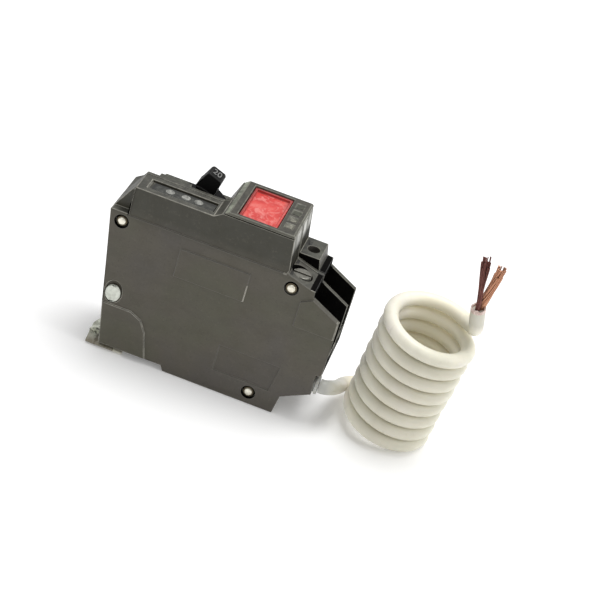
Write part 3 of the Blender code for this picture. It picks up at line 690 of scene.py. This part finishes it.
def far_faces(place, facing):
    """The same for the far case."""
    # Painted shade: the far case's face at the barrier, the pockets and the brow take the black
    # shade material.
    seam_face_shade = facing.y < -0.9 and place.y < 1.4
    in_pocket = place.x > 28 and 26 < place.z < 49 and place.y < 11.3
    at_brow = place.x > 27.0 and 45.7 < place.z < 48.6 and place.y < 12.4
    if seam_face_shade or in_pocket or at_brow:
        return SHADOW
    # The block's +X end wall takes the wall material with painted light.
    return WALL if facing.x > 0.9 and place.z > 52 else SKIN


def barrier_faces(place, facing):
    """The same for the centre barrier, with painted black shade on both flat sides."""
    return SHADOW if abs(facing.y) > 0.9 else SKIN


def bezel_faces(place, facing):
    """The same for the bezel, which has its mottled slope in place of a shadow."""
    # The block's +X end wall takes the wall material with painted light.
    if facing.x > 0.9 and place.x > 17:
        return WALL
    return SHADOW if facing.x < -0.3 and place.x < -2 else SKIN


def dress_case():
    grey = case_plastic("case_grey_skin", (0.075, 0.066, 0.048), (0.071, 0.067, 0.043),
                        (0.070, 0.062, 0.051), (0.054, 0.053, 0.043), 1.0)
    dark = case_plastic("case_dark_skin", (0.072, 0.066, 0.056), (0.068, 0.065, 0.05),
                        (0.068, 0.061, 0.056), (0.054, 0.055, 0.042))
    shadow = painted_recess_shade()
    wall = ribbed_wall_painted_light()
    rim = edge_wear_and_highlight("case_rim", (0.24, 0.23, 0.195), (0.1, 0.094, 0.077))
    reshaped("near_cover", "case_grey", [grey, rim, shadow, wall], 0.2, 2, cover_faces)
    barrier_rim = edge_wear_and_highlight("barrier_rim", (0.17, 0.165, 0.14))
    reshaped("centre_barrier", "case_grey", [grey, barrier_rim, shadow], 0.16, 2, barrier_faces)
    far_rim = edge_wear_and_highlight("far_case_rim", (0.17, 0.165, 0.135))
    reshaped("far_case", "case_dark", [dark, far_rim, shadow, wall], 0.2, 2, far_faces)
    bezel = case_plastic("bezel_skin", (0.085, 0.08, 0.06), (0.078, 0.078, 0.056),
                         (0.09, 0.083, 0.07), (0.042, 0.039, 0.030))
    slope = mottled("bezel_slope", (0.1, 0.105, 0.08), (0.3, 0.32, 0.25), 300.0)
    bezel_rim = edge_wear_and_highlight("bezel_rim", (0.15, 0.148, 0.12))
    reshaped("test_bezel", "case_grey", [bezel, bezel_rim, slope, wall], 0.24, 2, bezel_faces)
    pale = mottled("printed_pale", (0.06, 0.06, 0.045), (0.26, 0.25, 0.2), 620.0)
    olive = plastic("printed_dark", (0.05, 0.052, 0.036), 0.4, (0.5, 0.65), 420.0)
    for i, (row, look) in enumerate(((-6.6, pale), (-1.8, pale), (3.0, olive), (7.8, olive))):
        outline = rectangle((13.95, 16.15), (row - 1.3, row + 1.3))
        settle(slab(f"bezel_mark_{i + 1}", outline, 63.3, 63.6, [look]), "case", "label_grey")


def dress_label():
    look = Shader("label_paper")
    stops = [(0.34, (0.018, 0.0185, 0.016)), (0.5, (0.034, 0.035, 0.030)),
             (0.66, (0.075, 0.077, 0.067))]
    mottle = look.ramp(look.noise(480.0, 4.0, 0.7), stops)
    black = (0.012, 0.012, 0.011)
    # Painted shadow: black along the label's back side and its left end, where the recess wall
    # shades it.
    edge = look.mix(look.span(look.axis("Y"), -0.0057, -0.0051, 0.0, 0.85), mottle, black)
    look.colour(look.mix(look.span(look.axis("X"), -0.0287, -0.0281, 0.85, 0.0), edge, black))
    look.roughness(look.noise(700.0), 0.45, 0.7)
    look.bump(look.noise(1500.0, 3.0), 0.05, 0.5)
    outline = rectangle((-29.4, -8.75), (-8.95, -4.25))
    plate = slab("label_plate", outline, 59.8, 60.3, [look.material])
    settle(plate, "case", "label_grey", "label_strip")
    pale = mottled("label_mark", (0.10, 0.102, 0.092), (0.34, 0.34, 0.31), 700.0)
    for i, x in enumerate((-23.7, -18.4, -14.2)):
        profile = [(0, -0.2), (1.45, -0.2), (1.45, 0.0), (1.3, 0.08), (0, 0.1)]
        mark = turned(f"label_mark_{i + 1}", profile, (x, -6.5, 60.34), (0, 0, 1), pale, 28)
        settle(mark, "case", "label_grey")


def dress_button():
    look = Shader("red_button")
    stops = [(0.36, (0.55, 0.04, 0.035)), (0.52, (0.64, 0.062, 0.052)), (0.66, (0.7, 0.13, 0.11))]
    slow = look.ramp(look.noise(170.0, 3.0, 0.6), stops)
    chalk = look.noise(300.0, 5.0, 0.75, None, 1.2)
    raised = look.times(look.span(chalk, 0.5, 0.6, 0.0, 0.55),
                        look.span(look.facing("Z"), 0.6, 0.95))
    print_worn = look.mix(raised, slow, (0.8, 0.3, 0.27))
    # Painted shadow: dark red along the button's left end and its back side, where the window wall
    # shades it.
    left_shadow = look.span(look.axis("X"), -0.0004, 0.0007, 0.85, 0.0)
    shade = look.mix(left_shadow, print_worn, (0.12, 0.008, 0.008))
    far = look.span(look.axis("Y"), 0.0094, 0.0103, 0.0, 0.8)
    shade = look.mix(far, shade, (0.16, 0.015, 0.013))
    corner = look.times(look.span(look.axis("X"), 0.0098, 0.0118, 0.0, 0.8),
                        look.span(look.axis("Y"), 0.001, 0.008))
    look.colour(look.mix(corner, shade, (0.2, 0.05, 0.055)))
    look.roughness(look.noise(300.0), 0.3, 0.5)
    look.bump(chalk, 0.12, 0.5)
    rim = edge_wear_and_highlight("red_rim", (0.42, 0.05, 0.045))
    reshaped("test_button", "red_plastic", [look.material, rim], 0.2, 3)


def dress_handle():
    """The lever, and its rating number laid on the top face."""
    black = plastic("black_handle", (0.0032, 0.0032, 0.0032), 0.4, (0.5, 0.66), 220.0, gloss=0.16)
    rim = plastic("black_rim", (0.008, 0.008, 0.0076), 0.5, (0.45, 0.6), 500.0, gloss=0.25)
    reshaped("handle", "black_plastic", [black, rim], 0.3, 3)
    pale = plastic("number_paint", (0.2, 0.2, 0.195), 0.45, (0.5, 0.7), 700.0, gloss=0.3)
    text = bpy.data.curves.new("rating_number", "FONT")
    text.body = "20"
    text.size = NUMBER_SIZE * MM
    text.extrude = 0.05 * MM
    text.align_x = "CENTER"
    text.align_y = "CENTER"
    text.materials.append(pale)
    number = bpy.data.objects.new("rating_number", text)
    scene.collection.objects.link(number)
    lean = math.radians(HANDLE_LEAN)
    out = Vector((math.sin(lean), 0, math.cos(lean)))
    across = Vector((math.cos(lean), 0, -math.sin(lean)))
    turn = Matrix((across, Vector((0, 1, 0)), out)).transposed().to_4x4()
    centre = HANDLE_PIVOT + NUMBER_HEIGHT * out - NUMBER_BACK * across
    stretch = Matrix.Diagonal((1.0, 1.3, 1.0, 1.0))
    number.matrix_world = Matrix.Translation(centre * MM) @ turn @ stretch
    settle(number, "handle", "black_plastic")


def rivet_crown(node, radius, height, look, far=False):
    """A low dome on the near or the far head of a rivet."""
    low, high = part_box(node)
    head = (high if far else low)[1]
    centre = ((low[0] + high[0]) / 2 / MM, head / MM, (low[2] + high[2]) / 2 / MM)
    profile = [(0.0, -0.2), (radius, -0.2)]
    for i in range(7):
        a = math.pi / 2 * i / 7
        profile.append((radius * math.cos(a), height * math.sin(a)))
    name = f"{node}_far_crown" if far else f"{node}_crown"
    crown = turned(name, profile + [(0.0, height)], centre, (0, 1 if far else -1, 0), look, 36)
    settle(crown, "case", "plated")


def dress_fasteners():
    """Rivets with crowned heads and the two terminal screws."""
    even = (1, 1, 1)
    # The crowns take a bright copy of the rivet metal; the heads round them take a dark copy,
    # tarnish with painted shade.
    bright = metal("bright_rivet", (0.86, 0.83, 0.72), (0.26, 0.44), even, 0.45, (0.36, 0.3, 0.2))
    tarnish_and_shade = metal("rivet_tarnish_and_shade", (0.16, 0.135, 0.09), (0.45, 0.65), even, 0.6,
                      (0.05, 0.035, 0.02))
    dull = metal("dull_rivet", (0.6, 0.62, 0.56), (0.36, 0.56), even, 0.4, (0.45, 0.46, 0.4))
    screw = metal("screw_steel", (0.24, 0.235, 0.21), (0.4, 0.6), even, 0.6, (0.08, 0.07, 0.055))
    for node in ("case_rivet_corner", "case_rivet_foot", "neutral_strap_rivet"):
        reshaped(node, "plated", [tarnish_and_shade, tarnish_and_shade], 0.3, 3)
        rivet_crown(node, *RIVET_CROWN, bright)
        if node.startswith("case"):
            rivet_crown(node, *RIVET_CROWN, bright, far=True)
    strap_rivet = reshaped("line_strap_rivet", "plated", [dull, dull], 0.4, 4)
    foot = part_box("line_strap_rivet")[0][2]
    for corner in strap_rivet.data.vertices:
        corner.co.z = foot + OVAL_HEIGHT * (corner.co.z - foot)
    for node in ("neutral_screw", "load_screw"):
        reshaped(node, "plated", [screw, screw], 0.22, 3)


def jaw_plate():
    """Tin plate gone grey-green, brown along the mouth and darker in spots."""
    look = Shader("jaw_plate", metallic=1.0)
    stops = [(0.36, (0.34, 0.345, 0.29)), (0.5, (0.62, 0.64, 0.55)), (0.66, (0.78, 0.79, 0.7))]
    rolled = look.ramp(look.noise(500.0, 4.0, 0.7), stops)
    spots = look.span(look.noise(420.0, 2.0, 0.5, None, 0.5), 0.57, 0.63, 0.0, 0.85)
    spotted = look.mix(spots, rolled, (0.06, 0.06, 0.055))
    mouth = look.span(look.axis("Z"), 0.0012, 0.0032, 0.8, 0.0)
    browned = look.mix(mouth, spotted, (0.26, 0.225, 0.17))
    look.colour(look.mix(look.patch((-26.0, 1.6), (1.5, 2.5)), browned, (0.72, 0.7, 0.6)))
    look.roughness(look.noise(700.0), 0.35, 0.55)
    look.bump(look.noise(380.0, 3.0), 0.1, 0.5)
    return look.material


def dress_metals():
    """The metal finishes by the record's slot: name, tone, roughness, grain, tarnish and stain."""
    rows = (
        ("plated", "tin_plate", (0.72, 0.71, 0.66), (0.24, 0.42), (8, 1, 1), 0.35,
         (0.4, 0.35, 0.27)),
        ("lug_alloy", "lug_alloy", (0.62, 0.62, 0.6), (0.3, 0.5), (1, 9, 1), 0.3,
         (0.35, 0.32, 0.27)),
        ("copper", "bare_copper", (0.76, 0.38, 0.23), (0.28, 0.46), (9, 1, 1), 0.4,
         (0.35, 0.16, 0.1)),
        ("silver", "contact_silver", (0.84, 0.84, 0.82), (0.2, 0.36), (1, 1, 1), 0.3,
         (0.4, 0.38, 0.34)),
        ("bimetal", "bimetal_strip", (0.62, 0.54, 0.42), (0.28, 0.45), (1, 9, 1), 0.4,
         (0.4, 0.28, 0.2)),
    )
    looks = {"steel": metal("rolled_steel", (0.5, 0.5, 0.48), (0.3, 0.5))}
    for slot, *finish in rows:
        looks[slot] = metal(*finish)
    return looks


def dress_rest(looks):
    """Every CAD node still shown takes the finish of its own slot."""
    looks["black_plastic"] = plastic("black_moulding", (0.014, 0.014, 0.014), 0.4, (0.35, 0.5))
    looks["core_blue"] = plastic("core_epoxy", (0.03, 0.06, 0.2), 0.25, (0.35, 0.5), 260.0)
    looks["surge_blue"] = plastic("surge_epoxy", (0.05, 0.16, 0.5), 0.2, (0.18, 0.3), 240.0)
    board = Shader("solder_mask")
    tracks = board.noise(420.0, 2.0, 0.4, board.stretched((1.0, 1.0, 5.0)))
    stops = [(0.44, (0.012, 0.09, 0.03)), (0.5, (0.03, 0.17, 0.06)), (0.6, (0.045, 0.22, 0.08))]
    board.colour(board.ramp(tracks, stops))
    board.roughness(board.noise(500.0), 0.25, 0.4)
    board.bump(tracks, 0.04, 0.5)
    looks["board_green"] = board.material
    for part in frame["record"]["subparts"]:
        obj = nodes[part["node"]]
        look = looks.get(part["material_slot"])
        if look and not obj.hide_render:
            for entry in obj.material_slots:
                entry.material = look


def add_button_spring(steel):
    """The return spring stands on its shelf, reshaped from its node with a mesh of its own."""
    spring = reshaped("button_spring", "steel", [steel], 0)
    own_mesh(spring)


# ---------------------------------------------------------------- studio


def add_studio():
    """Even white surroundings, a pale floor and three soft lamps."""
    scene.view_settings.view_transform = "Standard"
    scene.view_settings.look = "None"
    world = bpy.data.worlds.new("studio")
    world.use_nodes = True
    background = world.node_tree.nodes["Background"]
    background.inputs["Color"].default_value = (1.0, 1.0, 1.0, 1.0)
    background.inputs["Strength"].default_value = 0.5
    scene.world = world
    bm = bmesh.new()
    bmesh.ops.create_grid(bm, x_segments=8, y_segments=8, size=3.0)
    look = Shader("pale_floor")
    stops = [(0.3, (0.9, 0.9, 0.9)), (0.7, (0.93, 0.93, 0.93))]
    look.colour(look.ramp(look.noise(3.0, 2.0), stops))
    look.set("Roughness", 0.7)
    look.set("Specular IOR Level", 0.2)
    look.set("Emission Color", (1.0, 1.0, 1.0, 1.0))
    look.set("Emission Strength", 0.14)
    floor = new_object("studio_floor", bm, [look.material])
    floor.location = (0, 0, -FLOOR_GAP)
    for name, place, aim, size, power in (
        ("overhead", (0.10, 0.15, 0.75), (0.02, 0, 0.03), 0.55, 4.2),
        ("right_box", (0.62, -0.05, 0.30), (0.03, 0, 0.03), 0.35, 1.1),
        ("front_fill", (-0.25, -0.7, 0.35), (0.02, 0, 0.03), 0.5, 0.4),
    ):
        data = bpy.data.lights.new(name, "AREA")
        data.shape = "DISK"
        data.size = size
        data.energy = power
        lamp = bpy.data.objects.new(name, data)
        lamp.location = place
        heading = Vector(aim) - Vector(place)
        lamp.rotation_euler = heading.to_track_quat("-Z", "Y").to_euler()
        scene.collection.objects.link(lamp)


# ---------------------------------------------------------------- assembly


def main():
    add_camera()
    insulation = add_pigtail()
    dress_case()
    dress_label()
    dress_button()
    dress_handle()
    dress_fasteners()
    looks = dress_metals()
    reshaped("line_jaw", "plated", [jaw_plate()], 0.12)
    add_button_spring(looks["steel"])
    looks["white_wire"] = insulation
    dress_rest(looks)
    add_studio()


main()
